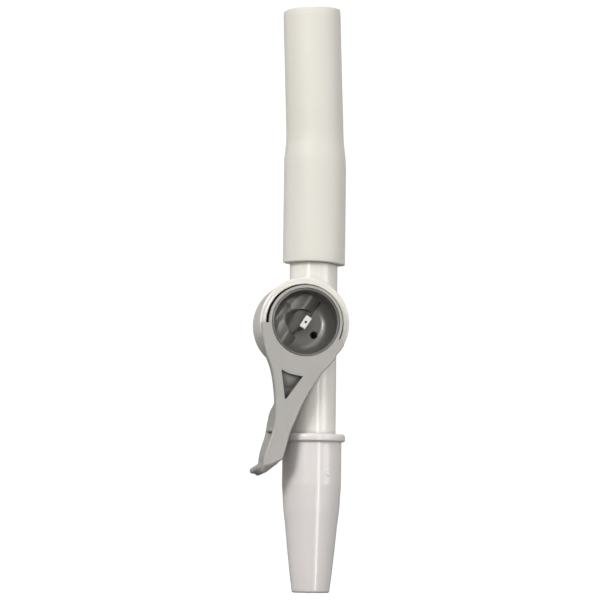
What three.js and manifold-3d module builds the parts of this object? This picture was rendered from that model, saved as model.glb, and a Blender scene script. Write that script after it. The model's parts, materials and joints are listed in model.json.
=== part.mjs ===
// In-line lever drain valve (stopcock) for flexible tubing.
// Frame, millimetres: origin at the bottom centre of the bounding box, level with the inlet connector's tip,
// +Z along the tube towards the soft outlet sleeve, -Y (front) towards the lever's side, +X to the right of
// someone facing the lever. Pieces of the valve are drawn about the point where the tube's axis crosses the
// level of the lever's pivot; those of the lever assembly are drawn about the pivot axis, which runs along Y.
import * as THREE from "three";
import { mergeVertices } from "three/addons/utils/BufferGeometryUtils.js";
import { ConvexGeometry } from "three/addons/geometries/ConvexGeometry.js";
import Module from "manifold-3d";

// ---- shared dimensions: R is a radius, FRONT and BACK are places along Y -------------------------------------
const TIP = -44.4; // bottom of the inlet connector
const ORIGIN = [2.575, 0.425, -TIP];
const PIVOT_X = -2.2; // chamber and lever axis, left of the tube axis
const SLIDE_GAP = 0.03; // radial gap round the tube and the plug's neck
const OVERCUT = 1; // how far a cutter runs past the face it opens
const THROUGH = 9; // half length of a cutter that runs right through

const CHAMBER_R = 7.42;
const CHAMBER_BACK = 5.1;
const CHAMBER_FRONT = -CHAMBER_BACK;
const SNAP_SEAT = CHAMBER_BACK - 0.7; // floor of the recess in the chamber's back

const TUBE_R = 4.0;
const SPIGOT_TOP = 29.0;
const TUBE_BOTTOM = -SPIGOT_TOP;

const SEAL_R = 2.2;
const SEAL_START = 2.5; // inside the plug's outline, which trims the seal
const SEAL_SEAT_END = 8.0;

const PLUG_R = 6.0;
const PLUG_BACK = 3.65;
const NECK_R = 5.6; // the plug's neck, inside the lever's ring
const FRONT_FACE = -6.35; // plane shared by the plug cup's rim and the lever's front
const BOSS_FRONT = -5.5; // the boss in the cup, under the pin's head
const REST_TILT = 33; // degrees, passage from vertical at rest, top to the right

const BLADE_LONG = 1.3;
const BLADE_WIDE = 0.44;
const JOURNAL_R = 1.0;

const O_RING_MINOR = 0.35;
const O_RING_FRONT = -3.4;
const O_RING_BACK = 3.0;

const SEG_TUBE = 40;
const SEG_CHAMBER = 56;
const SEG_BORE = 32;

// ---- materials ------------------------------------------------------------------------------------------------
const WHITE = 0xeae7e2;
const GREY = 0xafaca7;
const RUBBER = 0x3a3a3c;
const MATERIALS = {
  body: { color: WHITE, roughness: 0.3 },
  connector: { color: 0xe3dedb, roughness: 0.3 },
  sleeve: { color: 0xe3e2dc, roughness: 0.6 },
  portSeal: { color: RUBBER, roughness: 0.6 },
  oRing: { color: RUBBER, roughness: 0.55 },
  lever: { color: GREY, roughness: 0.4 },
  plug: { color: GREY, roughness: 0.45 },
  pin: { color: WHITE, roughness: 0.35 },
};

// ---- helpers --------------------------------------------------------------------------------------------------
const wasm = await Module();
wasm.setup();

// A closed geometry as a solid: shared corners merged, collapsed triangles dropped, faces turned outwards.
function solid(geometry) {
  for (const name of Object.keys(geometry.attributes)) {
    if (name !== "position") geometry.deleteAttribute(name);
  }
  const merged = mergeVertices(geometry, 1e-4);
  const index = merged.index.array;
  const corners = [];
  for (let i = 0; i < index.length; i += 3) {
    const [a, b, c] = index.slice(i, i + 3);
    if (a !== b && b !== c && a !== c) corners.push(a, b, c);
  }
  const vertProperties = merged.attributes.position.array;
  const build = () => {
    const triVerts = new Uint32Array(corners);
    return new wasm.Manifold(new wasm.Mesh({ numProp: 3, vertProperties, triVerts }));
  };
  const result = build();
  if (result.volume() >= 0) return result;
  for (let i = 0; i < corners.length; i += 3) {
    [corners[i + 1], corners[i + 2]] = [corners[i + 2], corners[i + 1]];
  }
  return build();
}

const vectors = (points) => points.map(([x, y]) => new THREE.Vector2(x, y));

function extrusion(outline, depth, holes = []) {
  const shape = new THREE.Shape(vectors(outline));
  shape.holes = holes.map((hole) => new THREE.Path(vectors(hole)));
  return new THREE.ExtrudeGeometry(shape, { depth, bevelEnabled: false });
}

// Prisms along Y of an outline of [x, z] points.
const prismYGeometry = (outline, y0, y1, holes) =>
  extrusion(outline, y1 - y0, holes).rotateX(Math.PI / 2).translate(0, y1, 0);
const prismY = (...args) => solid(prismYGeometry(...args));

// A prism along X of an outline of [y, z] points.
function prismX(outline, x0, x1) {
  const turn = new THREE.Matrix4().set(0, 0, 1, x0, 1, 0, 0, 0, 0, 1, 0, 0, 0, 0, 0, 1);
  return solid(extrusion(outline, x1 - x0).applyMatrix4(turn));
}

// A rectangular bar along Y, centred on the pivot axis.
function bar(wide, long, y0, y1) {
  const x = wide / 2;
  const z = long / 2;
  return prismY([[-x, -z], [x, -z], [x, z], [-x, z]], y0, y1);
}

// Turned pieces from a profile of [radius, height] points, about Y or about Z.
const latheY = (profile, segments = SEG_CHAMBER) =>
  solid(new THREE.LatheGeometry(vectors(profile), segments));
const latheZGeometry = (profile, segments = SEG_TUBE) =>
  new THREE.LatheGeometry(vectors(profile), segments).rotateX(Math.PI / 2);
const latheZ = (...args) => solid(latheZGeometry(...args));

const discProfile = (r, from, to) => [[0, from], [r, from], [r, to], [0, to]];
const discY = (r, y0, y1, segments) => latheY(discProfile(r, y0, y1), segments);
const discZ = (r, z0, z1, segments) => latheZ(discProfile(r, z0, z1), segments);

const atPivot = (piece) => piece.translate([PIVOT_X, 0, 0]);

// Moves each vertex along X by offset(y, z).
function shiftX(geometry, offset) {
  const p = geometry.attributes.position;
  for (let i = 0; i < p.count; i++) p.setX(i, p.getX(i) + offset(p.getY(i), p.getZ(i)));
  return geometry;
}

// Points on a circle about the origin, angles in degrees.
function arc(r, from, to, steps) {
  const points = [];
  for (let i = 0; i <= steps; i++) {
    const angle = ((from + ((to - from) * i) / steps) * Math.PI) / 180;
    points.push([r * Math.cos(angle), r * Math.sin(angle)]);
  }
  return points;
}

// A smooth line through the given points.
function through(points, steps) {
  const knots = points.map(([x, z]) => new THREE.Vector3(x, z, 0));
  const curve = new THREE.CatmullRomCurve3(knots, false, "centripetal");
  return curve.getPoints(steps).map((point) => [point.x, point.y]);
}

function mesh(name, piece, material) {
  const { vertProperties, triVerts } = piece.getMesh();
  const geometry = new THREE.BufferGeometry();
  geometry.setAttribute("position", new THREE.BufferAttribute(new Float32Array(vertProperties), 3));
  geometry.setIndex(new THREE.BufferAttribute(new Uint32Array(triVerts), 1));
  geometry.computeVertexNormals();
  const result = new THREE.Mesh(geometry, new THREE.MeshStandardMaterial(material));
  result.name = name;
  return result;
}

// ---- valve body: chamber, outlet spigot and inlet tube in one moulding ----------------------------------------
function valveBody() {
  const backR = 7.2; // the chamber narrows a little towards its back
  const frontChamfer = 0.25;
  const backChamfer = 0.35;
  const rimLength = 0.8; // full-width band at the chamber's front
  const boreR = 6.4;
  const chamberFloor = 3.8; // inner face of the back wall
  const bottomChamfer = 0.2;
  const topChamfer = 0.4;
  const throatR = 1.5; // between each seal's seat and the tube's bore
  const throatLength = 1.2;
  const tubeBoreR = 2.5;

  const chamber = latheY([
    [0, CHAMBER_FRONT], [CHAMBER_R - frontChamfer, CHAMBER_FRONT],
    [CHAMBER_R, CHAMBER_FRONT + frontChamfer], [CHAMBER_R, CHAMBER_FRONT + rimLength],
    [backR, CHAMBER_BACK - backChamfer], [backR - backChamfer, CHAMBER_BACK], [0, CHAMBER_BACK],
  ]);
  const tube = latheZ([
    [0, TUBE_BOTTOM], [TUBE_R - bottomChamfer, TUBE_BOTTOM], [TUBE_R, TUBE_BOTTOM + bottomChamfer],
    [TUBE_R, SPIGOT_TOP - topChamfer], [TUBE_R - topChamfer, SPIGOT_TOP], [0, SPIGOT_TOP],
  ]);
  const pinHole = discY(JOURNAL_R + 0.06, chamberFloor - OVERCUT, CHAMBER_BACK + OVERCUT, SEG_BORE);
  const snapRecess = discY(1.9, SNAP_SEAT, CHAMBER_BACK + OVERCUT, SEG_BORE);
  const throatEnd = SEAL_SEAT_END + throatLength;
  const duct = discZ(SEAL_R + 0.04, SEAL_START, SEAL_SEAT_END, SEG_BORE)
    .add(discZ(throatR, SEAL_SEAT_END - OVERCUT, throatEnd + OVERCUT, SEG_BORE))
    .add(discZ(tubeBoreR, throatEnd, SPIGOT_TOP + OVERCUT, SEG_BORE));
  return atPivot(chamber)
    .add(tube)
    .subtract(atPivot(discY(boreR, CHAMBER_FRONT - OVERCUT, chamberFloor)))
    .subtract(atPivot(pinHole))
    .subtract(atPivot(snapRecess))
    .subtract(duct)
    .subtract(duct.rotate([180, 0, 0]));
}

// ---- port seals: soft rings between the plug and each port, the turn about X picks the port -------------------
function portSeal(turn) {
  const boreR = 1.4;
  const plugGap = 0.04; // running gap between the plug and the seals
  const end = SEAL_SEAT_END - 0.05;
  const ring = latheZ([
    [boreR, SEAL_START], [SEAL_R, SEAL_START], [SEAL_R, end], [boreR, end], [boreR, SEAL_START],
  ], SEG_BORE);
  return ring.rotate([turn, 0, 0]).subtract(atPivot(discY(PLUG_R + plugGap, -THROUGH, THROUGH)));
}

// ---- plug: a cup turning in the chamber, with an off-centre cross passage -------------------------------------
// Drawn with the passage upright and offset to the left, then turned to its rest angle.
const CUP_FLOOR = -1.4;

// The plug's outside, with a groove for each O-ring.
function plugBlank() {
  const rimChamfer = 0.1;
  const neckBack = -5.0;
  const grooveFloorR = 5.62;
  const grooveHalf = O_RING_MINOR + 0.04;
  const grooves = [O_RING_FRONT, O_RING_BACK].flatMap((y) => [
    [PLUG_R, y - grooveHalf], [grooveFloorR, y - grooveHalf],
    [grooveFloorR, y + grooveHalf], [PLUG_R, y + grooveHalf],
  ]);
  return latheY([
    [0, FRONT_FACE], [NECK_R - rimChamfer, FRONT_FACE], [NECK_R, FRONT_FACE + rimChamfer],
    [NECK_R, neckBack], [PLUG_R, neckBack], ...grooves, [PLUG_R, PLUG_BACK], [0, PLUG_BACK],
  ]);
}

// The cup's hollow, with a rounded corner at its floor.
function cupHollow() {
  const cupR = 5.25;
  const fillet = 2.2;
  const corner = arc(fillet, 0, 90, 6).map(([r, h]) => [cupR - fillet + r, CUP_FLOOR - fillet + h]);
  const start = FRONT_FACE - OVERCUT;
  return latheY([[0, start], [cupR, start], ...corner, [0, CUP_FLOOR]]);
}

// The rounded cover over the passage, easing down to the floor on the left and steep on the right.
// It is cut away down to the floor round the pivot.
function passageCover() {
  const humpR = 2.05;
  const humpX = -0.65;
  const humpFront = -2.5;
  const pocketR = 2.45;
  const left = -5.4;
  const base = CUP_FLOOR + 2;
  const outline = [ // [x, y]
    [left, CUP_FLOOR + 0.02], [-3.7, CUP_FLOOR - 0.1], [-3.0, CUP_FLOOR - 0.32], [-2.4, CUP_FLOOR - 0.58],
    ...arc(humpR, 240, 360, 12).map(([x, y]) => [humpX + x, humpFront + humpR + y]),
    [humpX + humpR, base], [left, base],
  ];
  const cover = solid(extrusion(outline, 2 * THROUGH).translate(0, 0, -THROUGH));
  return cover.subtract(discY(pocketR, -THROUGH, CUP_FLOOR + 0.3, 40));
}

// The boss under the pin's head, and the thin rib that props it at both ends.
function proppedBoss() {
  const root = CUP_FLOOR + 1;
  const ribFront = BOSS_FRONT + 0.1;
  const ribFrontHalf = 0.95; // half length along Z at the rib's front
  const ribHalf = 2.15; // and at its toe
  const ribToe = -2.4;
  const rib = prismX([
    [ribFront, -ribFrontHalf], [ribToe, -ribHalf], [root, -ribHalf],
    [root, ribHalf], [ribToe, ribHalf], [ribFront, ribFrontHalf],
  ], -0.44, -0.22);
  return bar(0.92, 2.0, BOSS_FRONT, root).add(rib);
}

function plugCore() {
  const passageR = 1.0;
  const passageX = -1.45;
  const slotGap = 0.04;
  const vent = { r: 0.57, x: 2.6, z: -0.4 };
  const hollow = cupHollow().subtract(passageCover()).subtract(proppedBoss());
  const passage = discZ(passageR, -THROUGH, THROUGH, 28).translate([passageX, 0, 0]);
  const slot = bar(BLADE_WIDE + 2 * slotGap, BLADE_LONG + 2 * slotGap, -THROUGH, THROUGH);
  const journalSeat = discY(JOURNAL_R + 0.05, PLUG_BACK - 0.7, THROUGH, SEG_BORE);
  const ventHole = discY(vent.r, CUP_FLOOR - 2, THROUGH, 20).translate([vent.x, 0, vent.z]);
  return plugBlank()
    .subtract(hollow)
    .subtract(passage)
    .subtract(slot)
    .subtract(journalSeat)
    .subtract(ventHole)
    .rotate([0, REST_TILT, 0]);
}

// ---- retaining pin: head in the cup, blade through the plug, snap end behind the back wall --------------------
function retainingPin() {
  const headFront = -6.0;
  const snapR = 1.4;
  const snapFront = SNAP_SEAT + 0.05;
  const journalFront = PLUG_BACK - 0.6;
  const pinBack = CHAMBER_BACK - 0.1;
  const dimple = discY(0.15, headFront - OVERCUT, headFront + 0.25, 12);
  const head = bar(1.05, 2.15, headFront, BOSS_FRONT - 0.03).subtract(dimple);
  const blade = bar(BLADE_WIDE, BLADE_LONG, BOSS_FRONT - 0.2, PLUG_BACK - 0.4);
  const journal = latheY([
    [0, journalFront], [JOURNAL_R, journalFront], [JOURNAL_R, snapFront],
    [snapR, snapFront], [snapR, CHAMBER_BACK - 0.35], [JOURNAL_R, pinBack], [0, pinBack],
  ], SEG_BORE);
  return head.add(blade).add(journal).rotate([0, REST_TILT, 0]);
}

// ---- plug O-rings ---------------------------------------------------------------------------------------------
const oRing = (y) =>
  latheY(arc(O_RING_MINOR, 0, 360, 8).map(([r, h]) => [PLUG_R + r, y + h]), 40);

// ---- flip lever: ring and flange round the plug's neck, arm, side wall and finger hook ------------------------
const RING_BORE_R = NECK_R + SLIDE_GAP;
const RING_R = 6.06;
const FLANGE_BACK = CHAMBER_FRONT - 0.2; // just clear of the chamber's rim
const ARM_BACK = -4.75;
const ARM_TOP = -4.5;
const WALL_DEPTH = 6.65;
const WALL_THICK = 1.15;

// The arm's edges from the flange down to the hook: [x, z].
const LEFT_EDGE = through([
  [-7.33, -0.7], [-7.2, -2.26], [-6.97, -3.6], [-6.7, -4.77], [-6.37, -5.77],
  [-6.0, -6.69], [-5.68, -7.6], [-5.33, -9.1], [-5.12, -10.6], [-4.98, -11.8],
  [-4.9, -13.1], [-4.9, -15.0], [-5.0, -16.6], [-5.22, -17.8], [-5.58, -18.9],
  [-5.92, -19.9], [-6.26, -20.9], [-6.55, -21.8], [-6.78, -22.7], [-6.94, -23.8],
], 38);
const RIGHT_EDGE = through([
  [-3.6, -22.5], [-3.2, -21.2], [-2.45, -18.4], [-1.4, -15.8],
  [0.2, -12.4], [2.7, -8.5], [4.05, -7.05], [4.95, -5.94],
], 20);

// In the tables below, depth is measured back from the lever's front face.
// The side wall seen from the side: [depth, z].
const WALL_PROFILE = [
  [0, ARM_TOP], [1.6, ARM_TOP], [1.6, -13.3], [2.6, -13.75], [4.4, -14.35], [5.6, -15.2],
  [6.3, -16.4], [WALL_DEPTH, -18.0], [WALL_DEPTH, -21.2], [6.2, -22.4], [5.6, -23.6], [0, -23.9],
];
// The hook's lip, curling back from the arm's end: [x, depth, z].
const HOOK_LIP = [
  [-3.65, 0, -22.35], [-3.65, 0.9, -22.45], [-6.9, 0, -23.2], [-6.9, 0.2, -24.1],
  [-6.95, 6.5, -23.0], [-7.25, 6.6, -23.3], [-7.9, 6.1, -24.9], [-7.0, 6.2, -25.1],
  [-5.9, 3.2, -24.6], [-4.2, 0.5, -23.1], [-5.8, 4.0, -23.2],
];
// The lip's kick out to the left: [x, depth, z].
const HOOK_KICK = [
  [-6.6, 2.2, -23.3], [-7.1, 6.6, -22.9], [-7.15, 5.0, -22.7], [-8.35, 6.4, -24.05],
  [-8.45, 6.0, -24.4], [-8.1, 5.6, -24.75], [-7.2, 5.9, -24.8], [-7.1, 3.4, -24.3],
];
// Scoop in the wall's outer face, deepest at its upper front corner: [x, depth, z].
const SCOOP = [
  [-9, 1.1, -18.25], [-9, 6.0, -18.25], [-4.35, 1.1, -18.25], [-5.5, 6.0, -18.25],
  [-9, 1.1, -22.8], [-9, 6.0, -22.8], [-6.72, 1.1, -22.8], [-6.8, 6.0, -22.8],
];
// Upper edge [x, z] and side profile [depth, z] of the pocket in the arm's face.
const POCKET_EDGE = [[-3.92, -7.95], [-2.9, -8.45], [-1.7, -8.8], [-0.3, -9.05]];
const POCKET_PROFILE = [[-1, -7], [0.55, -7.9], [1.38, -12.4], [1.38, -13], [-1, -13.2]];

const depthPrismX = (profile, x0, x1) =>
  prismX(profile.map(([depth, z]) => [FRONT_FACE + depth, z]), x0, x1);
const depthHull = (points) =>
  solid(new ConvexGeometry(points.map(([x, depth, z]) => new THREE.Vector3(x, FRONT_FACE + depth, z))));

function ringAndFlange() {
  const ring = latheY([
    [RING_BORE_R, FRONT_FACE], [RING_R, FRONT_FACE], [RING_R, FLANGE_BACK],
    [RING_BORE_R, FLANGE_BACK], [RING_BORE_R, FRONT_FACE],
  ]);
  const outline = [
    [-7.35, -0.19], ...LEFT_EDGE, ...RIGHT_EDGE,
    ...arc(CHAMBER_R, 315.5, 330.5, 4), ...arc(RING_R - 0.15, 335.8, 541.5, 40),
  ];
  const hole = arc(RING_BORE_R, 0, 360 * (1 - 1 / SEG_CHAMBER), SEG_CHAMBER - 1);
  return ring.add(prismY(outline, FRONT_FACE, FLANGE_BACK, [hole]));
}

// The wall follows the arm's left edge and deepens behind the finger hook.
function sideWall() {
  // Slope of the wall to the left with depth, easing to a slight slope to the right near the hook.
  const slope = (z) => {
    const ease = THREE.MathUtils.clamp((-16.5 - z) / 5, 0, 1);
    return 0.05 - 0.07 * ease;
  };
  const inner = LEFT_EDGE.map(([x, z]) => [x + WALL_THICK, z]).reverse();
  const stripBack = FRONT_FACE + WALL_DEPTH + 0.5; // spare depth, trimmed by the profile
  const strip = shiftX(
    prismYGeometry([...LEFT_EDGE, ...inner], FRONT_FACE, stripBack),
    (y, z) => -slope(z) * (y - FRONT_FACE),
  );
  return solid(strip).intersect(depthPrismX(WALL_PROFILE, -12, 0));
}

// A triangular pocket whose floor deepens towards the hook.
function armPocket() {
  const outline = [...through(POCKET_EDGE, 6), [-3.2, -12.6], [-3.32, -12.6]];
  return prismY(outline, FRONT_FACE - OVERCUT, FRONT_FACE + 1.5)
    .intersect(depthPrismX(POCKET_PROFILE, -6, 1));
}

function flipLever() {
  // Outside the chamber the arm is deeper than the flange.
  const armOutline = [...LEFT_EDGE.filter(([, z]) => z < ARM_TOP), ...RIGHT_EDGE];
  const chamberRoom = discY(CHAMBER_R + 0.25, -THROUGH, THROUGH);
  return ringAndFlange()
    .add(prismY(armOutline, FRONT_FACE, ARM_BACK).subtract(chamberRoom))
    .add(sideWall().subtract(chamberRoom))
    .add(depthHull(HOOK_LIP))
    .add(depthHull(HOOK_KICK))
    .subtract(depthHull(SCOOP))
    .subtract(armPocket());
}

// ---- soft outlet sleeve, stretched over the spigot ------------------------------------------------------------
function outletSleeve() {
  const bottom = 10.3;
  const top = 52.8;
  const wideR = 5.2; // over the spigot
  const freeR = 4.8; // above it
  const wideBoreR = TUBE_R + SLIDE_GAP;
  const freeBoreR = 3.6;
  const edge = 0.15; // chamfer of the outer edges
  const lean = { start: 30.5, slope: 0.037, ease: 2.5 }; // the free end leans to the left
  const outer = [
    [wideR - edge, bottom], [wideR, bottom + edge], [wideR, 18], [wideR, 26.6],
    [wideR - 0.06, 28.0], [wideR - 0.2, 29.2], [wideR - 0.34, 30.4], [freeR, 31.8],
    [freeR, 33.5], [freeR, 36], [freeR, 42], [freeR, top - edge], [freeR - edge, top],
  ];
  const inner = [
    [freeBoreR + 0.05, top], [freeBoreR, top - 0.05], [freeBoreR, 42], [freeBoreR, 36],
    [freeBoreR, 33.5], [freeBoreR, 31.8], [freeBoreR + 0.2, 30.2],
    [wideBoreR, SPIGOT_TOP + 0.05], [wideBoreR, 18], [wideBoreR, bottom],
  ];
  return solid(shiftX(latheZGeometry([...outer, ...inner, outer[0]]), (y, z) => {
    const over = Math.max(0, z - lean.start);
    return -(lean.slope * over * over) / (over + lean.ease);
  }));
}

// ---- tapered inlet connector, a socket over the inlet tube ----------------------------------------------------
function inletConnector() {
  const collarTop = -18.2;
  const collarBottom = -19.45;
  const collarR = 5.5;
  const coneR = 4.9;
  const tipR = 3.12;
  const tipBoreR = 2.2;
  const socketR = TUBE_R + SLIDE_GAP;
  const socketFloor = TUBE_BOTTOM - 0.1;
  return latheZ([
    // collar
    [socketR, collarTop], [collarR - 0.4, collarTop], [collarR - 0.1, collarTop - 0.15],
    [collarR, collarTop - 0.45], [collarR, collarBottom + 0.4], [collarR - 0.15, collarBottom + 0.1],
    // cone
    [coneR + 0.25, collarBottom], [coneR + 0.05, collarBottom - 0.2], [coneR, collarBottom - 0.5],
    [coneR, -26.6], [4.8, -28.4], [4.62, -30.8], [4.3, -33.4], [3.92, -37.3], [3.5, -41.3],
    // tip
    [tipR + 0.05, TIP + 0.4], [tipR - 0.03, TIP + 0.12], [tipR - 0.2, TIP],
    // bore and socket
    [tipBoreR, TIP], [tipBoreR, -38], [tipBoreR + 0.35, socketFloor], [socketR, socketFloor],
    [socketR, collarTop],
  ]);
}

// ---- assembly -------------------------------------------------------------------------------------------------
function assembly(name, position, ...children) {
  const result = new THREE.Group();
  result.name = name;
  result.position.set(...position);
  return result.add(...children);
}

const lever = assembly("lever_assembly", [PIVOT_X, 0, 0],
  mesh("flip_lever", flipLever(), MATERIALS.lever),
  mesh("plug_core", plugCore(), MATERIALS.plug),
  mesh("plug_retaining_pin", retainingPin(), MATERIALS.pin),
  mesh("front_plug_o_ring", oRing(O_RING_FRONT), MATERIALS.oRing),
  mesh("rear_plug_o_ring", oRing(O_RING_BACK), MATERIALS.oRing),
);
const valve = assembly("valve", ORIGIN,
  mesh("valve_body", valveBody(), MATERIALS.body),
  mesh("inlet_port_seal", portSeal(180), MATERIALS.portSeal),
  mesh("outlet_port_seal", portSeal(0), MATERIALS.portSeal),
  mesh("outlet_sleeve", outletSleeve(), MATERIALS.sleeve),
  mesh("inlet_connector", inletConnector(), MATERIALS.connector),
  lever,
);
const group = assembly("lever_drain_valve", [0, 0, 0], valve);

export default group;
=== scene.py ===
# Looks for an in-line lever drain valve.
# The tube stands along Z, inlet connector below and outlet sleeve above. The lever's pivot runs
# along Y; the lever faces the front (-Y) and hangs down at the left (-X), ending in a hook.
# Every visible shell is a dense mesh made from a distance function or a turned profile, in the
# frame's own place, and rides on its CAD body. Shapes are in millimetres, the scene in metres.
import json
import math
import bpy
import numpy as np
from mathutils import Matrix, Vector

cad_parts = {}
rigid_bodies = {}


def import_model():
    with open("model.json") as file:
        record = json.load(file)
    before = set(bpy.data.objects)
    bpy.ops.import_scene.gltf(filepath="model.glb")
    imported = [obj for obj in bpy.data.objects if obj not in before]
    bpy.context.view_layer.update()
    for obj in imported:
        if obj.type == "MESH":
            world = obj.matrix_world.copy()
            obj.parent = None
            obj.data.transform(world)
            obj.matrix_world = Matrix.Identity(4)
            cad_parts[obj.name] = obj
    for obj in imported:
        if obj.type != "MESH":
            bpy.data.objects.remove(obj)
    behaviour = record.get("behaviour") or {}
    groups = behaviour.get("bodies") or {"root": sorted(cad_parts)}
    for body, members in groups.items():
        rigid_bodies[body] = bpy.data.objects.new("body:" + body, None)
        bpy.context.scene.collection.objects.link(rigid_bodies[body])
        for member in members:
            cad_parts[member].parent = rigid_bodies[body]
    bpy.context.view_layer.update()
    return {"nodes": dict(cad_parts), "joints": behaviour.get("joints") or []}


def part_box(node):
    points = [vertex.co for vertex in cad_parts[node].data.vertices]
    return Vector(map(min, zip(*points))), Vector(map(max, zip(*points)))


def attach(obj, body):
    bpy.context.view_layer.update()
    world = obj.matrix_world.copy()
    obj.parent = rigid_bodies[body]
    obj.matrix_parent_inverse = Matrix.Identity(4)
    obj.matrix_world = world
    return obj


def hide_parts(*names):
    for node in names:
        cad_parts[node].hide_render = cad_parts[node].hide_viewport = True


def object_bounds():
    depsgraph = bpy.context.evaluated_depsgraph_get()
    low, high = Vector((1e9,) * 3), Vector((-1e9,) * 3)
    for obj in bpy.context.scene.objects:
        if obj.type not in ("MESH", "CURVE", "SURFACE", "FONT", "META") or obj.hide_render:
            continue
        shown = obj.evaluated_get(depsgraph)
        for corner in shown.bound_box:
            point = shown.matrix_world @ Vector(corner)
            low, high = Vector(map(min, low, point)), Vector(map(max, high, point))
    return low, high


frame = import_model()
MM = 1000.0  # millimetres in a metre
pivot = frame["joints"][0]["pos_m"]
inlet_low, inlet_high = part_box("inlet_connector")
# where the tube's axis crosses the pivot's level
ORIGIN = np.array([(inlet_low.x + inlet_high.x) / 2, (inlet_low.y + inlet_high.y) / 2, pivot[2]]) * MM
PIVOT_X = pivot[0] * MM - ORIGIN[0]  # from the tube's axis
TIP_Z = inlet_low.z * MM - ORIGIN[2]  # lower end of the inlet connector


# ---- distance functions: negative inside ----
def meet(a, b, radius):
    """Where both hold, with the edge between them rounded."""
    outside = np.sqrt(np.maximum(radius + a, 0) ** 2 + np.maximum(radius + b, 0) ** 2)
    return np.minimum(-radius, np.maximum(a, b)) + outside


def join(a, b, radius):
    """Either, with a fillet in the corner between them."""
    inside = np.sqrt(np.maximum(radius - a, 0) ** 2 + np.maximum(radius - b, 0) ** 2)
    return np.maximum(radius, np.minimum(a, b)) - inside


def cut(solid, tool, radius=None):
    """The solid less the tool; a sharp edge if no radius is given."""
    return np.maximum(solid, -tool) if radius is None else meet(solid, -tool, radius)


def slab(value, low, high):
    return np.maximum(low - value, value - high)


def dist(a, b):
    return np.sqrt(a * a + b * b)


def ramp(value):
    return np.clip(value, 0, 1)


def polygon(x, z, points):
    """Signed distance to a closed outline."""
    nearest = np.inf
    inside = False
    for i, (bx, bz) in enumerate(points):
        ax, az = points[i - 1]
        run, rise = bx - ax, bz - az
        from_x, from_z = x - ax, z - az
        t = ramp((from_x * run + from_z * rise) / (run * run + rise * rise + 1e-12))
        nearest = np.minimum(nearest, (from_x - run * t) ** 2 + (from_z - rise * t) ** 2)
        safe_rise = rise if abs(rise) > 1e-12 else 1e-12
        inside = inside ^ (((az > z) != (bz > z)) & (x < run * from_z / safe_rise + ax))
    nearest = np.sqrt(nearest)
    return np.where(inside, -nearest, nearest)


def bar(x, y, z, start, end, start_radius, end_radius):
    """A round tapering bar."""
    axis = [end[i] - start[i] for i in range(3)]
    offset = [x - start[0], y - start[1], z - start[2]]
    along = offset[0] * axis[0] + offset[1] * axis[1] + offset[2] * axis[2]
    t = ramp(along / sum(c * c for c in axis))
    gap = np.sqrt(sum((offset[i] - axis[i] * t) ** 2 for i in range(3)))
    return gap - (start_radius + (end_radius - start_radius) * t)


def triangle(x, y, z, *corners):
    """Distance to a flat triangle."""
    corners = [np.array(corner, float) for corner in corners]
    edges = [corners[(i + 1) % 3] - corners[i] for i in range(3)]
    offsets = [[x - corner[0], y - corner[1], z - corner[2]] for corner in corners]
    normal = np.cross(edges[0], edges[2])

    def dot(a, b):
        return a[0] * b[0] + a[1] * b[1] + a[2] * b[2]

    def edge_gap(edge, offset):
        t = ramp(dot(edge, offset) / dot(edge, edge))
        return sum((offset[i] - edge[i] * t) ** 2 for i in range(3))

    sides = sum(np.sign(dot(np.cross(e, normal), o)) for e, o in zip(edges, offsets))
    gaps = [edge_gap(e, o) for e, o in zip(edges, offsets)]
    to_edge = np.minimum(np.minimum(gaps[0], gaps[1]), gaps[2])
    to_face = dot(normal, offsets[0]) ** 2 / dot(normal, normal)
    return np.sqrt(np.where(sides < 2.0, to_edge, to_face))


# ---- outlines ----
def spline(points, steps):
    """A centripetal Catmull-Rom line through the points."""
    def between(t, ta, tb, a, b):
        return (tb - t) / (tb - ta) * a + (t - ta) / (tb - ta) * b

    points = np.array(points, float)
    points = np.vstack([2 * points[0] - points[1], points, 2 * points[-1] - points[-2]])
    line = []
    for i in range(1, len(points) - 2):
        near = points[i - 1:i + 3]
        knots = [0.0]
        for j in range(3):
            knots.append(knots[j] + np.linalg.norm(near[j + 1] - near[j]) ** 0.5)
        for k in range(steps):
            t = knots[1] + (knots[2] - knots[1]) * k / steps
            pairs = [between(t, knots[j], knots[j + 1], near[j], near[j + 1]) for j in range(3)]
            triples = [between(t, knots[j], knots[j + 2], pairs[j], pairs[j + 1]) for j in range(2)]
            line.append(tuple(between(t, knots[1], knots[2], *triples)))
    line.append(tuple(points[-2]))
    return line


def arc(radius, start, end, steps):
    """Points about the origin, from one angle to another in degrees."""
    angles = [math.radians(start + (end - start) * i / steps) for i in range(steps + 1)]
    return [(radius * math.cos(angle), radius * math.sin(angle)) for angle in angles]


def rounded(corners, steps):
    """A closed outline from corners of (radius, height, rounding)."""
    line = []
    for i in range(len(corners)):
        corner, before, after = (np.array(corners[k % len(corners)][:2], float)
                                 for k in (i, i - 1, i + 1))
        radius = corners[i][2]
        back, ahead = before - corner, after - corner
        back_length, ahead_length = np.linalg.norm(back), np.linalg.norm(ahead)
        back, ahead = back / back_length, ahead / ahead_length
        angle = math.acos(max(-1.0, min(1.0, float(back @ ahead))))
        if radius <= 0 or angle > math.pi - 0.02:
            line.append(tuple(corner))
            continue
        # the rounding takes less than half of either side
        reach = min(radius / math.tan(angle / 2), 0.48 * back_length, 0.48 * ahead_length)
        radius = reach * math.tan(angle / 2)
        middle = (back + ahead) / np.linalg.norm(back + ahead)
        centre = corner + middle * (radius / math.sin(angle / 2))
        start = corner + back * reach - centre
        end = corner + ahead * reach - centre
        sweep = math.atan2(start[0] * end[1] - start[1] * end[0], float(start @ end))
        for k in range(steps + 1):
            c, s = math.cos(sweep * k / steps), math.sin(sweep * k / steps)
            line.append((centre[0] + start[0] * c - start[1] * s,
                         centre[1] + start[0] * s + start[1] * c))
    return line


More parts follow.
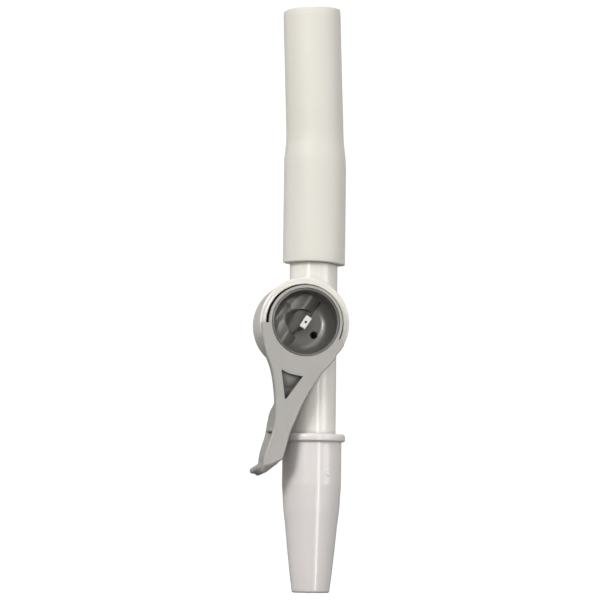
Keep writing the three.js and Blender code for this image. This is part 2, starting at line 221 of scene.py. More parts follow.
def dense(points, longest):
    """The closed outline with its long stretches divided."""
    line = []
    for i in range(len(points)):
        a, b = np.array(points[i], float), np.array(points[(i + 1) % len(points)], float)
        parts = max(1, int(math.ceil(np.linalg.norm(b - a) / longest)))
        line += [tuple(a + (b - a) * k / parts) for k in range(parts)]
    return line


# ---- meshing ----
def surface(solid, low, high, cell):
    """The zero surface of a distance function over a box: vertices, quads and normals."""
    low = np.array(low, float) - 2.2 * cell
    size = np.ceil((np.array(high, float) + 2.2 * cell - low) / cell).astype(int) + 1
    xs, ys, zs = (low[i] + cell * np.arange(size[i]) for i in range(3))
    field = np.empty(tuple(size), np.float32)
    # sampled in layers to limit memory
    step = max(1, int(3.0e6 // (size[0] * size[1])))
    for k in range(0, size[2], step):
        layer = slice(k, k + step)
        field[:, :, layer] = solid(xs[:, None, None], ys[None, :, None], zs[None, None, layer])
    field[np.abs(field) < 1e-7] = 1e-7
    inside = field < 0
    filled = np.zeros(tuple(size - 1), np.uint8)
    corners = [(i, j, k) for i in (0, 1) for j in (0, 1) for k in (0, 1)]
    for i, j, k in corners:
        filled += inside[i:size[0] - 1 + i, j:size[1] - 1 + j, k:size[2] - 1 + k]

    # one vertex in each crossed cell, at the mean of its edge crossings
    cells = np.argwhere((filled > 0) & (filled < 8))
    values = {c: field[cells[:, 0] + c[0], cells[:, 1] + c[1], cells[:, 2] + c[2]].astype(float)
              for c in corners}
    total = np.zeros((len(cells), 3))
    count = np.zeros(len(cells))
    for corner in corners:
        for axis in range(3):
            if corner[axis]:
                continue
            other = tuple(1 if m == axis else corner[m] for m in range(3))
            a, b = values[corner], values[other]
            crossed = (a < 0) != (b < 0)
            t = np.where(crossed, a / np.where(crossed, a - b, 1), 0)
            for m in range(3):
                total[:, m] += np.where(crossed, corner[m] + (t if m == axis else 0), 0)
            count += crossed
    verts = low + cell * (cells + total / count[:, None])

    # one quad round each crossed grid edge
    index = np.full(tuple(size - 1), -1, np.int32)
    index[cells[:, 0], cells[:, 1], cells[:, 2]] = np.arange(len(cells))
    quads = []
    for axis in range(3):
        sides = [m for m in range(3) if m != axis]
        first, second = [slice(1, -1)] * 3, [slice(1, -1)] * 3
        first[axis], second[axis] = slice(0, -1), slice(1, None)
        starts, ends = inside[tuple(first)], inside[tuple(second)]
        edges = np.argwhere(starts != ends)
        leaving = starts[edges[:, 0], edges[:, 1], edges[:, 2]]
        edges = edges + np.array([0 if m == axis else 1 for m in range(3)])
        ring = []
        for shift in ((-1, -1), (0, -1), (0, 0), (-1, 0)):
            place = edges.copy()
            place[:, sides] += shift
            ring.append(index[place[:, 0], place[:, 1], place[:, 2]])
        quad = np.stack(ring, 1)
        backward = leaving if axis == 1 else ~leaving
        quad[backward] = quad[backward][:, ::-1]
        quads.append(quad)

    def slope(points):
        """Value and gradient from four samples round each point."""
        reach = 0.015
        gradient = np.zeros_like(points)
        mean = np.zeros(len(points))
        for way in ((1, -1, -1), (-1, 1, -1), (-1, -1, 1), (1, 1, 1)):
            way = np.array(way, float)
            sample = solid(*(points + way * reach).T)
            gradient += sample[:, None] * way
            mean += sample / 4
        return mean, gradient / (4 * reach)

    # draw the vertices onto the true surface, less than half a cell at a time
    for _ in range(2):
        value, gradient = slope(verts)
        steepness = np.maximum((gradient * gradient).sum(1), 0.25)
        move = -(value / steepness)[:, None] * gradient
        length = np.linalg.norm(move, axis=1, keepdims=True)
        verts = verts + move * np.minimum(1, 0.45 * cell / np.maximum(length, 1e-9))
    normals = slope(verts)[1]
    normals /= np.maximum(np.linalg.norm(normals, axis=1, keepdims=True), 1e-9)
    return verts, np.concatenate(quads), normals


def turned(profile, segments, bend):
    """A closed profile of (radius, height) turned about Z, then moved by bend(points, angles)."""
    profile = np.array(profile, float)
    rows = len(profile)
    angles = 2 * math.pi * np.arange(segments) / segments
    verts = np.empty((segments, rows, 3))
    verts[:, :, 0] = np.cos(angles)[:, None] * profile[None, :, 0]
    verts[:, :, 1] = np.sin(angles)[:, None] * profile[None, :, 0]
    verts[:, :, 2] = profile[None, :, 1]
    verts = bend(verts.reshape(-1, 3), np.repeat(angles, rows))
    i, j = np.meshgrid(np.arange(segments), np.arange(rows), indexing="ij")
    i2, j2 = (i + 1) % segments, (j + 1) % rows
    quads = np.stack([i * rows + j, i2 * rows + j, i2 * rows + j2, i * rows + j2], -1)
    return verts, quads.reshape(-1, 4)


def paint(piece, material, slot):
    piece.data.materials.clear()
    piece.data.materials.append(material)


def add_piece(name, verts, faces, normals=None, *, body, node, material, slot, place=(0, 0, 0)):
    """A smooth quad mesh that rides on a body in place of a CAD node."""
    mesh = bpy.data.meshes.new(name)
    points = ((verts + ORIGIN + np.array(place)) / MM).astype(np.float32)
    mesh.vertices.add(len(points))
    mesh.vertices.foreach_set("co", points.ravel())
    faces = np.asarray(faces, np.int32)
    mesh.loops.add(faces.size)
    mesh.loops.foreach_set("vertex_index", faces.ravel())
    mesh.polygons.add(len(faces))
    mesh.polygons.foreach_set("loop_start", np.arange(0, faces.size, 4, dtype=np.int32))
    mesh.update(calc_edges=True)
    mesh.validate()
    mesh.polygons.foreach_set("use_smooth", np.ones(len(mesh.polygons), bool))
    if normals is not None:
        mesh.normals_split_custom_set_from_vertices([tuple(normal) for normal in normals])
    piece = bpy.data.objects.new(name, mesh)
    bpy.context.scene.collection.objects.link(piece)
    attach(piece, body)
    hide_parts(node)
    paint(piece, material, slot)


# ---- materials ----
class Graph:
    """The emptied node tree of a material or world."""

    def __init__(self, owner):
        owner.use_nodes = True
        self.tree = owner.node_tree
        self.tree.nodes.clear()

    def add(self, kind, inputs, **settings):
        """A node; each input is a value, a socket, or a node whose first output is taken."""
        node = self.tree.nodes.new("ShaderNode" + kind)
        for setting, value in settings.items():
            setattr(node, setting, value)
        for socket, value in inputs.items():
            if isinstance(value, bpy.types.Node):
                value = value.outputs[0]
            if isinstance(value, bpy.types.NodeSocket):
                self.tree.links.new(value, node.inputs[socket])
            else:
                node.inputs[socket].default_value = value
        return node

    def mix(self, factor, a, b):
        inputs = {"Factor": factor, "A": a, "B": b}
        return self.add("Mix", inputs, data_type="RGBA").outputs["Result"]


def srgb(*channels):
    """Linear colour from 0-255 channels."""
    parts = [c / 255 for c in channels]
    return tuple(c / 12.92 if c <= 0.04045 else ((c + 0.055) / 1.055) ** 2.4
                 for c in parts) + (1.0,)


def plastic(name, colour, tint, rough, grain, grain_depth, rough_var=0.05, flow=60.0,
            subsurface=None, specular=0.5, sheen=0.0, specks=None, streak=None, painted_corner_shade=None):
    """Moulded plastic or rubber: colour and tint in slow clouds, fine grain, uneven gloss.

    colour, tint: sRGB 0-255; rough, rough_var: mean roughness and its swing;
    grain, flow: scales of the surface grain and the clouds; grain_depth: mm;
    subsurface: weight and scale in mm; specks: scale, size and colour of dark dots;
    streak: squeeze along Z of the ripples; and the painted corner shade: its reach in mm and least
    brightness.
    """
    material = bpy.data.materials.new(name)
    graph = Graph(material)
    add = graph.add
    position = add("TexCoord", {}).outputs["Object"]

    def noise(scale, detail, vector=position, **more):
        return add("TexNoise", {"Scale": scale, "Detail": detail, "Vector": vector, **more})

    clouds = add("MapRange", {"From Min": 0.32, "From Max": 0.68,
                              "Value": noise(flow, 4.0, Roughness=0.55)})
    base = graph.mix(clouds, srgb(*colour), srgb(*tint))

    if specks:
        dots = add("TexVoronoi", {"Scale": specks["scale"], "Vector": position})
        size = specks["size"]
        near = add("MapRange", {"From Min": size, "From Max": size * 0.55,
                                "Value": dots.outputs["Distance"]})
        # only the few dots with a high random red
        random_red = add("SeparateColor", {0: dots.outputs["Color"]})
        few = add("Math", {0: random_red, 1: 0.93}, operation="GREATER_THAN")
        both = add("Math", {0: near, 1: few}, operation="MULTIPLY")
        faint = add("Math", {0: both, 1: 0.55}, operation="MULTIPLY")
        base = graph.mix(faint, base, srgb(*specks["colour"]))
    if painted_corner_shade:
        # painted shade: ambient occlusion darkens the base colour in corners and recesses
        occlusion = add("AmbientOcclusion", {"Distance": painted_corner_shade["reach"] / MM}, samples=8)
        bright = add("MapRange", {"From Min": 0.25, "From Max": 0.9, "To Min": painted_corner_shade["least"],
                                  "To Max": 1.0, "Value": occlusion.outputs["AO"]})
        base = add("VectorMath", {0: base, "Scale": bright}, operation="SCALE")

    roughness = add("MapRange", {"To Min": rough - rough_var, "To Max": rough + rough_var,
                                 "Value": noise(flow * 6, 3.0)})
    height = noise(grain, 2.0)
    if streak:
        # long faint ripples along the tube, as an extruded surface has
        stretched = add("VectorMath", {0: position, 1: (1.0, 1.0, streak)}, operation="MULTIPLY")
        ripples = noise(420.0, 2.0, vector=stretched)
        height = add("Math", {0: height, 1: ripples}, operation="ADD")
    bump = add("Bump", {"Strength": 1.0, "Distance": grain_depth / MM, "Height": height})

    inputs = {"Base Color": base, "Roughness": roughness, "Normal": bump,
              "Specular IOR Level": specular}
    if subsurface:
        inputs["Subsurface Weight"] = subsurface[0]
        inputs["Subsurface Radius"] = (1.0, 0.9, 0.8)
        inputs["Subsurface Scale"] = subsurface[1] / MM
    if sheen > 0:
        inputs["Sheen Weight"] = sheen
        inputs["Sheen Roughness"] = 0.5
    add("OutputMaterial", {0: add("BsdfPrincipled", inputs)})
    return material


# where a material below has a reach and a least brightness, shade is painted into its corners and
# recesses
BODY_WHITE = plastic(
    "body_white_plastic", colour=(245, 242, 235), tint=(241, 237, 229), rough=0.2, grain=1400,
    grain_depth=0.002, subsurface=(0.12, 0.5), painted_corner_shade=dict(reach=1.0, least=0.5))
CONNECTOR_WHITE = plastic(
    "connector_white_plastic", colour=(240, 235, 232), tint=(235, 230, 227), rough=0.22,
    grain=1400, grain_depth=0.002, subsurface=(0.12, 0.5), painted_corner_shade=dict(reach=1.0, least=0.6))
LEVER_GREY = plastic(
    "lever_grey_plastic", colour=(182, 179, 174), tint=(177, 174, 168), rough=0.34, grain=1700,
    grain_depth=0.006, flow=140, painted_corner_shade=dict(reach=3.0, least=0.06))
# the same plastic as the lever, coloured darker: painted shade for the inside of the cup
PLUG_GREY_SHADED = plastic(
    "plug_grey_plastic", colour=(142, 139, 133), tint=(135, 132, 126), rough=0.3, grain=1700,
    grain_depth=0.006, flow=140, painted_corner_shade=dict(reach=0.7, least=0.6))
PIN_WHITE = plastic(
    "pin_white_plastic", colour=(240, 238, 233), tint=(235, 232, 226), rough=0.36, grain=1400,
    grain_depth=0.004, subsurface=(0.1, 0.4), painted_corner_shade=dict(reach=0.8, least=0.08))
SILICONE = plastic(
    "sleeve_silicone", colour=(238, 235, 227), tint=(234, 231, 221), rough=0.56, rough_var=0.06,
    grain=1100, grain_depth=0.012, flow=45, subsurface=(0.35, 1.2), specular=0.4, sheen=0.05,
    specks=dict(scale=260.0, size=0.06, colour=(120, 116, 108)), streak=0.03)
RUBBER = plastic(
    "seal_rubber", colour=(44, 44, 46), tint=(38, 38, 40), rough=0.55, grain=1000,
    grain_depth=0.01, specular=0.4)


# ---- valve body, drawn about the tube's axis ----
BODY_HALF = 29.0  # half the tube's height
CHAMBER_FRONT, CHAMBER_BACK = -5.14, 5.1
CHAMBER_R = 7.48
MOUTH_R = 6.38


def valve_body(x, y, z):
    pivot_x = x - PIVOT_X
    from_pivot = dist(pivot_x, z)
    from_tube = dist(x, y)
    from_mouth = dist(pivot_x + 0.03, z + 0.06)
    # the chamber narrows a little towards the back
    wide = CHAMBER_R - 0.22 * ramp((y + 4.3) / 9.4)
    # the front rim steps back a little outside a fine bead round the mouth
    step = ramp((from_mouth - 6.6) / 0.2)
    front = CHAMBER_FRONT + 0.09 * step * step * (3 - 2 * step)
    chamber = meet(from_pivot - wide, slab(y, front, CHAMBER_BACK), 0.32)
    tube_radius = np.where(z > 0, 3.97, 3.92)
    tube = meet(from_tube - tube_radius, slab(z, -BODY_HALF, BODY_HALF), 0.4)
    solid = join(chamber, tube, 0.3)
    bore = meet(from_pivot - 6.4, slab(y, -4.4, 3.8), 0.3)
    mouth = np.maximum(from_mouth - MOUTH_R, slab(y, -9.0, -4.0))
    solid = cut(solid, np.minimum(bore, mouth), 0.1)
    # recess in the back face, with a hole through it
    solid = cut(solid, meet(from_pivot - 1.9, slab(y, 4.4, 9.0), 0.12), 0.15)
    solid = cut(solid, from_pivot - 1.06)
    # the duct, alike above and below: wide, narrow, then wide to the end
    height = np.abs(z)
    wide_part = np.maximum(from_tube - 2.24, slab(height, 1.0, 8.0))
    neck = np.maximum(from_tube - 1.5, slab(height, 7.0, 10.0))
    end_part = meet(from_tube - 2.5, slab(height, 9.2, 40.0), 0.15)
    return cut(solid, np.minimum(np.minimum(wide_part, neck), end_part), 0.06)


# ---- plug core and pin, drawn about the pivot ----
FRONT = -6.35  # front face of the lever and the plug's neck
TILT = math.radians(33.0)  # turn of the plug's passage


def passage_axes(x, z):
    """Distances across and along the plug's passage."""
    across = x * math.cos(TILT) - z * math.sin(TILT)
    along = x * math.sin(TILT) + z * math.cos(TILT)
    return across, along


def ring_softness(z, extra):
    """Edge rounding that grows from the bottom of the ring upwards."""
    return 0.02 + extra * ramp((z + 3.5) / 3.0)


def plug_core(x, y, z):
    from_pivot = dist(x, z)
    across, along = passage_axes(x, z)
    neck = meet(from_pivot - 5.61, slab(y, FRONT, -4.8), ring_softness(z, 0.09))
    skirt = meet(from_pivot - 6.0, slab(y, -5.0, 3.65), 0.12)
    solid = np.minimum(neck, skirt)
    for groove_y in (-3.4, 3.0):
        solid = cut(solid, np.maximum(5.62 - from_pivot, np.abs(y - groove_y) - 0.39))
    cup = meet(from_pivot - 5.25, slab(y, -12.0, -1.4), 2.2)
    # cover over the passage: a low arch, steeper on the right than on the left
    crest, cover_front, cover_radius = -1.6, -2.5, 2.4
    slope = np.where(across < crest, 0.55, 1.0)
    depth = np.minimum(y - (cover_front + cover_radius), 0)
    cover = dist(slope * (across - crest), depth) - cover_radius
    # cut away round the middle, softly on the left
    left = ramp(1 - ((along + 0.1) / 1.7) ** 2) * ramp(-across - 0.6)
    cover = meet(cover, 2.42 - from_pivot, 0.1 + 0.9 * left)
    boss = meet(np.maximum(np.abs(across) - 0.46, np.abs(along) - 1.0), -5.5 - y, 0.05)
    # thin sloping web either end of the boss
    reach = np.abs(along)
    web_slope = ((reach - 0.95) * 3.0 - (y + 5.2) * 1.2) / 3.231
    web = np.maximum(web_slope, np.maximum(reach - 2.15, -5.2 - y))
    web = meet(web, slab(across, -0.5, -0.2), 0.06)
    # the open cup is what these leave free
    void = cut(cup, cover, 0.08 + 0.8 * left + 0.8 * ramp((-across - 2.6) / 0.8))
    void = cut(void, boss, 0.06)
    void = cut(void, web, 0.04)
    solid = cut(solid, void, 0.07)
    passage = dist(across + 1.45, y) - 1.0
    solid = cut(solid, passage, 0.06)
    # narrow groove along the cover's steep side
    groove_ends = np.maximum(slab(along, 0.9, 4.7), slab(y, -4.0, -0.75))
    solid = cut(solid, np.maximum(np.abs(across - 0.54) - 0.19, groove_ends), 0.04)
    # small round hole on the right
    solid = cut(solid, dist(across - 2.74, along + 0.35) - 0.61, 0.05)
    # round recess at the back and the pin's oblong hole
    solid = cut(solid, np.maximum(from_pivot - 1.05, 2.95 - y))
    return cut(solid, np.maximum(np.abs(across) - 0.26, np.abs(along) - 0.69))


def plug_pin(x, y, z):
    from_pivot = dist(x, z)
    across, along = passage_axes(x, z)
    head = meet(np.abs(across) - 0.525, np.abs(along) - 1.075, 0.06)
    head = meet(head, slab(y, -6.0, -5.53), 0.07)
    shank = np.maximum(np.abs(across) - 0.22, np.abs(along) - 0.65)
    solid = np.minimum(head, np.maximum(shank, slab(y, -5.7, 3.25)))
    dimple = np.maximum(from_pivot - 0.2, y + 5.45)
    solid = cut(solid, dimple, 0.03)
    # round back end with a collar
    solid = np.minimum(solid, meet(from_pivot - 1.0, slab(y, 3.05, 5.0), 0.1))
    return join(solid, meet(from_pivot - 1.4, slab(y, 4.45, 4.9), 0.15), 0.05)


# ---- flip lever, drawn about the pivot ----
# the plate's edges seen from the front, as (x, z)
LEFT = spline([
    (-7.33, -0.7), (-7.2, -2.26), (-6.97, -3.6), (-6.7, -4.77), (-6.37, -5.77), (-6.0, -6.69),
    (-5.68, -7.6), (-5.33, -9.1), (-5.12, -10.6), (-4.98, -11.8), (-4.9, -13.1), (-4.9, -15.0),
    (-5.0, -16.6), (-5.22, -17.8), (-5.58, -18.9), (-5.92, -19.9), (-6.26, -20.9),
    (-6.55, -21.8), (-6.78, -22.7), (-6.94, -23.8)], 2)
END = [(-7.0, -24.2), (-6.95, -25.0), (-6.7, -25.3), (-3.52, -22.8)]
RIGHT = spline([
    (-3.6, -22.5), (-3.2, -21.2), (-2.45, -18.4), (-1.4, -15.8), (0.2, -12.4), (2.7, -8.5),
    (4.05, -7.05), (4.95, -5.94)], 4)
PLATE = ([(-7.35, -0.19)] + LEFT + END + RIGHT
         + arc(7.42, 315.5, 330.5, 6) + arc(5.85, 335.8, 541.5, 36))
# the side wall along the left edge, thicker low down, as (x, z)
WALL_EDGE = LEFT[8:]
WALL = WALL_EDGE + [(x + 1.15 + 0.7 * min(1.0, max(0.0, (-16.0 - z) / 1.5)), z)
                    for x, z in reversed(WALL_EDGE)]
# the wall seen from the side, as (depth behind the front face, z)
WALL_SIDE = [(FRONT + depth, z) for depth, z in (
    (0, -5.0), (1.6, -5.0), (1.6, -13.25), (2.5, -13.65), (4.3, -14.3), (5.5, -15.1),
    (6.3, -16.4), (6.65, -18.0), (6.65, -21.2), (6.2, -22.4), (5.6, -23.6), (0, -23.9))]
# the triangular pocket in the front, as (x, z)
POCKET = spline([(-3.98, -7.95), (-2.9, -8.5), (-1.7, -8.8), (-0.45, -9.0)], 4) + [
    (-3.12, -12.65), (-3.36, -12.65)]
RING_BORE = 5.63
ARM_START = 7.67  # arm and wall begin this far from the pivot
# the hook's flat pieces, as corners of (x, depth behind the front face, z)
LIPS = (((-4.7, 1.1, -22.95), (-6.4, 1.5, -24.3), (-6.9, 6.0, -24.7)),
        ((-4.9, 1.4, -22.9), (-6.2, 3.4, -23.6), (-6.9, 5.6, -24.2)))
KICK = ((-6.6, 1.8, -23.8), (-6.8, 6.0, -23.8), (-7.75, 6.0, -24.4))


def hook_plate(x, y, z, corners):
    half_thick = 0.5
    return triangle(x, y, z, *((cx, FRONT + depth, cz) for cx, depth, cz in corners)) - half_thick


def flip_lever(x, y, z):
    from_pivot = dist(x, z)
    plate = polygon(x, z, PLATE)
    soft = ring_softness(z, 0.1)
    layer = slab(y, FRONT, -5.3)
    ring = meet(from_pivot - 6.13, RING_BORE - from_pivot, 0.1)
    ring = meet(ring, layer, soft)
    flange = meet(plate, layer, 0.26)
    flange = meet(flange, RING_BORE - from_pivot, soft)
    flange = np.maximum(flange, from_pivot - 8.6)
    # the ring stays flush and square where it meets the flange
    solid = np.minimum(ring, flange)
    # the arm's end is rounded over, more and more towards the hook
    foot = 0.587 * (x + 3.6) - 0.809 * (z + 22.62)
    foot = meet(foot, FRONT - y, np.clip(0.28 + 0.42 * (-3.8 - x), 0.28, 1.35))
    arm = meet(meet(plate, ARM_START - from_pivot, 0.15), y + 4.75, 0.28)
    solid = join(solid, meet(arm, foot, 0.26), 0.05)
    # the wall leans outwards as it runs back, less so low down
    depth = y - FRONT
    flare = 0.072 - 0.035 * ramp((-16.8 - z) / 2.4) - 0.02 * ramp((-20.0 - z) / 3.0)
    wall = meet(polygon(x + flare * depth, z, WALL), ARM_START - from_pivot, 0.1)
    wall = meet(meet(wall, polygon(y, z, WALL_SIDE), 0.3), foot, 0.1)
    solid = join(solid, wall, 0.12)
    # hook: lip and kick
    lip = join(hook_plate(x, y, z, LIPS[0]), hook_plate(x, y, z, LIPS[1]), 0.1)
    solid = join(solid, lip, 0.15)
    solid = join(solid, hook_plate(x, y, z, KICK), 0.3)
    # scoop in the wall's outer face: deepest at its upper front corner
    outer = np.interp(-z, [-ez for _, ez in LEFT], [ex for ex, _ in LEFT]) - flare * depth
    scoop_depth = (1.5 * ramp((z + 22.4) / 4.4) ** 0.9) * ramp(1 - (depth - 0.9) / 5.3)
    scoop = meet(x - (outer + scoop_depth), slab(z, -23.2, -17.98), 0.1)
    scoop = np.maximum(scoop, 0.8 - depth)
    solid = cut(solid, scoop, 0.12)
    # the scoop's brow stands a little proud
    brow = bar(x, y, z, (-5.2, FRONT + 1.7, -17.75), (-5.35, FRONT + 4.9, -17.7), 0.26, 0.2)
    solid = join(solid, brow, 0.3)
    # triangular pocket, its floor falling towards the hook
    pocket_floor = FRONT + 0.6 + 0.88 * ramp((-8.2 - z) / 2.6)
    return cut(solid, meet(polygon(x, z, POCKET), y - pocket_floor, 0.08), 0.12)


# ---- turned pieces ----
def build_sleeve():
    """Outlet sleeve: soft tube, stretched over the spigot, leaning a little above it."""
    bottom, top = 10.3, 52.8
    # (radius, height, rounding): up the outside, past a fine line near the top, down the inside
    corners = [
        (5.17, bottom, 0.16), (5.17, 26.6, 0.8), (5.12, 28.0, 1.5), (4.99, 29.2, 1.5),
        (4.86, 30.4, 1.5), (4.8, 31.8, 1.5), (4.8, top - 0.86, 0.05), (4.765, top - 0.8, 0.03),
        (4.77, top - 0.74, 0.05), (4.74, top, 0.24),
        (3.62, top, 0.18), (3.6, 31.8, 1.0), (3.8, 30.2, 0.5), (4.0, 29.05, 0.3),
        (4.0, bottom, 0.12)]

    def bend(points, angle):
        z = points[:, 2].copy()
        radius = np.hypot(points[:, 0], points[:, 1])
        # a soft tube is never quite round, and its cut edges never quite flat or square
        low = ramp((12.5 - z) / 2.2) ** 2
        high = ramp((z - (top - 4.0)) / 4.0) ** 2
        wobble = 0.020 * np.sin(2 * angle + 0.12 * z) + 0.012 * np.sin(3 * angle - 0.21 * z + 1.0)
        wobble += 0.03 * low * np.sin(4 * angle + 0.6) + 0.015 * high * np.sin(3 * angle + 2.0)
        points[:, :2] *= (1 + wobble / np.maximum(radius, 1))[:, None]
        points[:, 2] += low * (0.05 * np.sin(3 * angle) - 0.036 * points[:, 0] - 0.08)
        points[:, 2] += high * (0.05 * points[:, 0] + 0.12 + 0.03 * np.sin(2 * angle + 0.8))
        points[:, 0] += 0.05 * ramp((30.0 - z) / 4.0)
        above = np.maximum(0, z - 30.5)
        points[:, 0] -= 0.037 * above * above / (above + 2.5)
        return points

    verts, quads = turned(dense(rounded(corners, 5), 0.6), 160, bend)
    add_piece("outlet_sleeve_skin", verts, quads, body="body", node="outlet_sleeve",
              material=SILICONE, slot="sleeve_silicone")


def build_connector():
    """Inlet connector: a collar, a long taper and a stepped bore."""
    # (radius, height, rounding): down the outside, up the bore
    corners = [
        (4.03, -18.2, 0.1), (5.5, -18.2, 0.5), (5.5, -19.45, 0.5), (4.9, -19.45, 0.25),
        (4.9, -26.6, 6.0), (4.62, -30.8, 8.0), (4.3, -33.4, 8.0), (3.92, -37.3, 8.0),
        (3.5, -41.3, 8.0), (3.12, TIP_Z, 0.32),
        (2.2, TIP_Z, 0.1), (2.2, -38.0, 3.0), (2.55, -29.1, 0.2), (4.03, -29.1, 0.1)]

    def gate_mark(points, angle):
        # the moulding's gate mark: a faint ring low on the right of the front
        mark_angle, mark_z = math.radians(-90 + 23.5), -24.6
        radius = np.hypot(points[:, 0], points[:, 1])
        turn = (angle - mark_angle + math.pi) % (2 * math.pi) - math.pi
        gap = np.sqrt((np.abs(turn) * radius) ** 2 + (points[:, 2] - mark_z) ** 2)
        lift = np.where(radius > 4.2, 0.05 * np.exp(-((gap - 0.36) / 0.14) ** 2), 0)
        points[:, :2] *= (1 + lift / np.maximum(radius, 1))[:, None]
        return points

    # divided twice: the finer pass splits the stretches of the coarser one
    profile = dense(dense(rounded(corners, 8), 0.7), 0.22)
    verts, quads = turned(profile, 240, gate_mark)
    add_piece("inlet_connector_shell", verts, quads, body="body", node="inlet_connector",
              material=CONNECTOR_WHITE, slot="connector_white")


# ---- build ----
CELL = 0.1
ON_LEVER = dict(body="lever", place=(PIVOT_X, 0.0, 0.0))


def shell(name, solid, low, high, cell, **piece):
    add_piece(name, *surface(solid, low, high, cell), **piece)


shell("valve_body_shell", valve_body, (PIVOT_X - 7.3, -5.15, -29.05), (7.3, 5.15, 29.05),
      CELL * 1.9, body="body", node="valve_body", material=BODY_WHITE, slot="body_white")
shell("plug_core_shell", plug_core, (-6.05, -6.4, -6.05), (6.05, 3.7, 6.05),
      CELL * 1.15, node="plug_core", material=PLUG_GREY_SHADED, slot="lever_grey", **ON_LEVER)
shell("plug_pin_shell", plug_pin, (-1.45, -6.05, -1.45), (1.45, 5.05, 1.45),
      CELL * 0.6, node="plug_retaining_pin", material=PIN_WHITE, slot="body_white", **ON_LEVER)
shell("flip_lever_shell", flip_lever, (-8.6, -6.4, -25.0), (7.3, 0.6, 6.05),
      CELL * 0.85, node="flip_lever", material=LEVER_GREY, slot="lever_grey", **ON_LEVER)
build_sleeve()
build_connector()
for name in ("inlet_port_seal", "outlet_port_seal", "front_plug_o_ring", "rear_plug_o_ring"):
    seal = frame["nodes"][name]
    for face in seal.data.polygons:
        face.use_smooth = True
    paint(seal, RUBBER, "seal_rubber")

# ---- floor and world ----
scene = bpy.context.scene
LOW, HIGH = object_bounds()
WHITE = (1, 1, 1, 1)


def floor_material():
    """Pale and self-lit to the camera, dim to every other ray."""
    material = bpy.data.materials.new("floor_pale")
    graph = Graph(material)
    add = graph.add
    pale = 0.9
    darker = pale * 0.985
    seen = add("LightPath", {}).outputs["Is Camera Ray"]
    colour = graph.mix(add("TexNoise", {"Scale": 3.0}),
                       (pale, pale, pale, 1.0), (darker, darker, darker, 1.0))
    amount = add("MapRange", {"To Min": 0.18, "To Max": 1.0, "Value": seen})
    dimmed = add("VectorMath", {0: colour, "Scale": amount}, operation="SCALE")
    diffuse = add("BsdfDiffuse", {"Color": dimmed})
    glow = add("MapRange", {"To Min": 0.02, "To Max": 0.66, "Value": seen})
    emission = add("Emission", {"Color": WHITE, "Strength": glow})
    add("OutputMaterial", {0: add("AddShader", {0: diffuse, 1: emission})})
    return material


def build_floor():
    bpy.ops.mesh.primitive_circle_add(vertices=96, radius=6.0, fill_type="NGON",
                                      location=((LOW.x + HIGH.x) / 2, 0, LOW.z - 0.0002))
    floor = bpy.context.object
    floor.name = "floor"
    floor.data.materials.append(floor_material())


def build_world():
    """Lit more from the front than from the back; plain white to the camera."""
    back_glow, front_glow, seen_glow = 0.26, 0.62, 1.05
    world = bpy.data.worlds.new("studio")
    scene.world = world
    add = Graph(world).add
    way = add("TexCoord", {}).outputs["Generated"]
    facing = add("VectorMath", {0: way, 1: (-0.12, -0.95, 0.28)}, operation="DOT_PRODUCT")
    strength = add("MapRange", {"From Min": -1.0, "From Max": 1.0, "To Min": back_glow,
                                "To Max": front_glow, "Value": facing.outputs["Value"]})
    lighting = add("Background", {"Color": WHITE, "Strength": strength})
    seen = add("Background", {"Color": WHITE, "Strength": seen_glow})
    is_camera = add("LightPath", {}).outputs["Is Camera Ray"]
    add("OutputWorld", {0: add("MixShader", {0: is_camera, 1: lighting, 2: seen})})


build_floor()
build_world()

# ---- lights ----
MIDDLE = Vector(((LOW.x + HIGH.x) / 2, 0.0, 0.045))


def meshes(title, wanted):
    """The meshes whose names pass, as a collection."""
    group = bpy.data.collections.new(title)
    for piece in scene.objects:
        if piece.type == "MESH" and wanted(piece.name):
            group.objects.link(piece)
    return group


def light(name, bearing, rise, distance, power, receives=None, **settings):
    """An area light aimed at the middle; bearing is from the front, positive right, in degrees."""
    data = bpy.data.lights.new(name, "AREA")
    data.energy = power
    for setting, value in settings.items():
        setattr(data, setting, value)
    lamp = bpy.data.objects.new(name, data)
    scene.collection.objects.link(lamp)
    turn, lift = math.radians(bearing), math.radians(rise)
    lamp.location = MIDDLE + distance * Vector((
        math.sin(turn) * math.cos(lift), -math.cos(turn) * math.cos(lift), math.sin(lift)))
    lamp.rotation_mode = "QUATERNION"
    lamp.rotation_quaternion = (MIDDLE - lamp.location).to_track_quat("-Z", "Y")
    if receives:
        lamp.light_linking.receiver_collection = meshes("linked", receives)
    return lamp


def is_plug(name):
    return name == "plug_core_shell"


def not_plug(name):
    return not is_plug(name)


def gleam(name, bearing, bottom, top, width, power):
    """A tall narrow light, its edges in degrees, that shows only on glossy sides."""
    distance = 0.6
    lamp = light(name, bearing, (bottom + top) / 2, distance, power, shape="RECTANGLE",
                 size=2 * distance * math.tan(math.radians(width / 2)),
                 size_y=2 * distance * math.tan(math.radians((top - bottom) / 2)))
    lamp.visible_diffuse = False
    lamp.data.cycles.use_multiple_importance_sampling = False
    blockers = meshes(name + "_blockers", lambda piece: piece != "floor")
    lamp.light_linking.blocker_collection = blockers


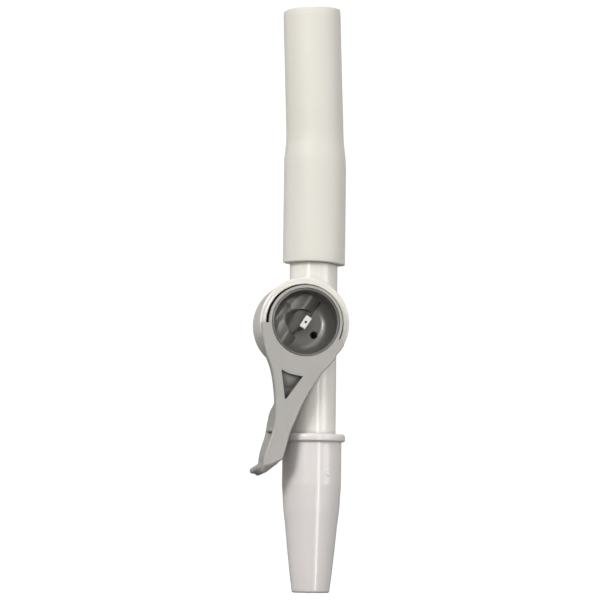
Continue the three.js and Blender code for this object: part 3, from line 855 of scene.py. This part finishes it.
# the cup's inside lies in the rim's own shadow, so the plug has lights of its own
light("key", bearing=-45, rise=28, distance=0.75, power=2.8, receives=not_plug,
      shape="DISK", size=0.24, color=(1.0, 0.99, 0.975))
light("front", bearing=-8, rise=15, distance=0.7, power=0.3, shape="DISK", size=0.12)
light("fill", bearing=50, rise=8, distance=0.8, power=1.75, receives=not_plug,
      shape="DISK", size=0.4, color=(1.0, 0.995, 0.985))
# name, bearing, rise, size, power, whether it lights matt surfaces
for name, bearing, rise, size, power, diffuse in (
        ("cup_side", -39, 8, 0.5, 0.13, True),
        ("cup_crest", -18, 6, 0.08, 2.4, False),
        ("cup_low", -13, 50, 0.55, 3.5, False)):
    lamp = light(name, bearing, rise, 0.7, power, receives=is_plug, shape="DISK", size=size)
    lamp.visible_diffuse = diffuse
gleam("gleam_left", bearing=-33, bottom=4.5, top=30, width=7, power=1.1)
gleam("gleam_right", bearing=18.6, bottom=-30, top=3.5, width=6, power=1.1)


# ---- camera ----
def build_camera():
    """A little to the left of the lever's front and a little below it."""
    bearing, rise, roll = math.radians(-9.0), math.radians(-4.8), math.radians(0.6)
    distance = 0.5
    shift_left, shift_up = 2.183333 / MM, 4.183333 / MM  # of the view's centre from ORIGIN
    back = Vector((math.sin(bearing) * math.cos(rise), -math.cos(bearing) * math.cos(rise),
                   math.sin(rise)))
    level = Vector((math.cos(bearing), math.sin(bearing), 0.0))
    upright = back.cross(level)
    right = level * math.cos(roll) + upright * math.sin(roll)
    up = -level * math.sin(roll) + upright * math.cos(roll)
    aim = Vector(ORIGIN / MM) - right * shift_left + up * shift_up
    data = bpy.data.cameras.new("camera")
    data.sensor_width = 36.0
    data.lens = 180.0
    data.clip_start, data.clip_end = 0.01, 50.0
    camera = bpy.data.objects.new("camera", data)
    scene.collection.objects.link(camera)
    turn = Matrix((right, up, back)).transposed()
    camera.matrix_world = Matrix.Translation(aim + back * distance) @ turn.to_4x4()
    scene.camera = camera


build_camera()
scene.view_settings.view_transform = "Standard"
scene.view_settings.look = "None"
scene.cycles.use_denoising = True
